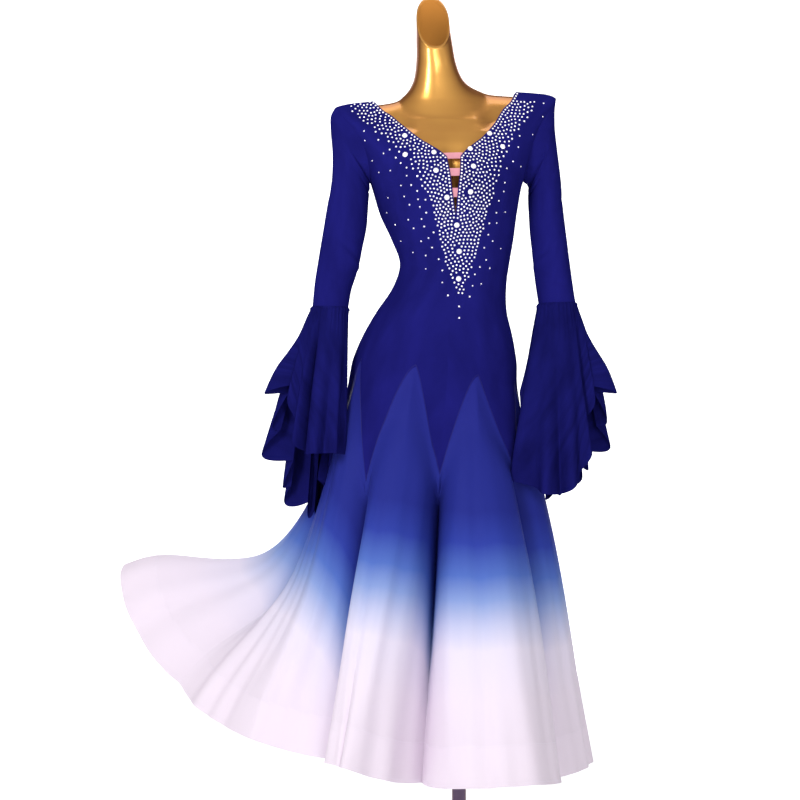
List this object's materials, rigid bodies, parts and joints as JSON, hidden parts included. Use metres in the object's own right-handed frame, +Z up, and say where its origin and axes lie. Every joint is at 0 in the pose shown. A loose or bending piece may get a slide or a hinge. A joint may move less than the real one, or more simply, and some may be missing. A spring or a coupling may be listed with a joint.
{
  "type": "ballroom dance dress on a dress form",
  "caption": "Long dance dress with a V neck, bell flounced sleeves and a flared godet skirt swept to one side, worn by a limbless torso form on a pole with a round base.",
  "frame": {"origin": "middle of the round base's underside, on the axis of the pole", "axes": "+Z up along the pole; -Y is the front of the dress; -X is the side of the wearer's right arm, where the skirt is swept out"},
  "size_m": [0.9445, 0.6351, 1.68],
  "materials": {
    "bodice_navy": "smooth stretch jersey, deep royal navy, set with clear crystals",
    "chiffon_navy": "thin crinkled chiffon, dark navy",
    "skirt_blue": "soft satin chiffon, shading from royal blue to pinkish white at the hem",
    "strap_pink": "pink elastic band",
    "form_gold": "gold lacquer, glossy",
    "stand_metal": "dull purple-grey metal"
  },
  "bodies": {
    "root": {"bodice_front": "bodice_navy", "bodice_back": "bodice_navy", "sleeve_left": "bodice_navy", "sleeve_right": "bodice_navy", "flounce_left": "chiffon_navy", "flounce_right": "chiffon_navy", "godet_front_left": "skirt_blue", "godet_front_right": "skirt_blue", "godet_side_left": "skirt_blue", "godet_side_right": "skirt_blue", "godet_rear_side_left": "skirt_blue", "godet_rear_side_right": "skirt_blue", "godet_back_left": "skirt_blue", "godet_back_right": "skirt_blue", "strap_top": "strap_pink", "strap_middle": "strap_pink", "strap_bottom": "strap_pink", "dress_form": "form_gold", "stand_pole": "stand_metal", "stand_base": "stand_metal"}
  },
  "joints": []
}
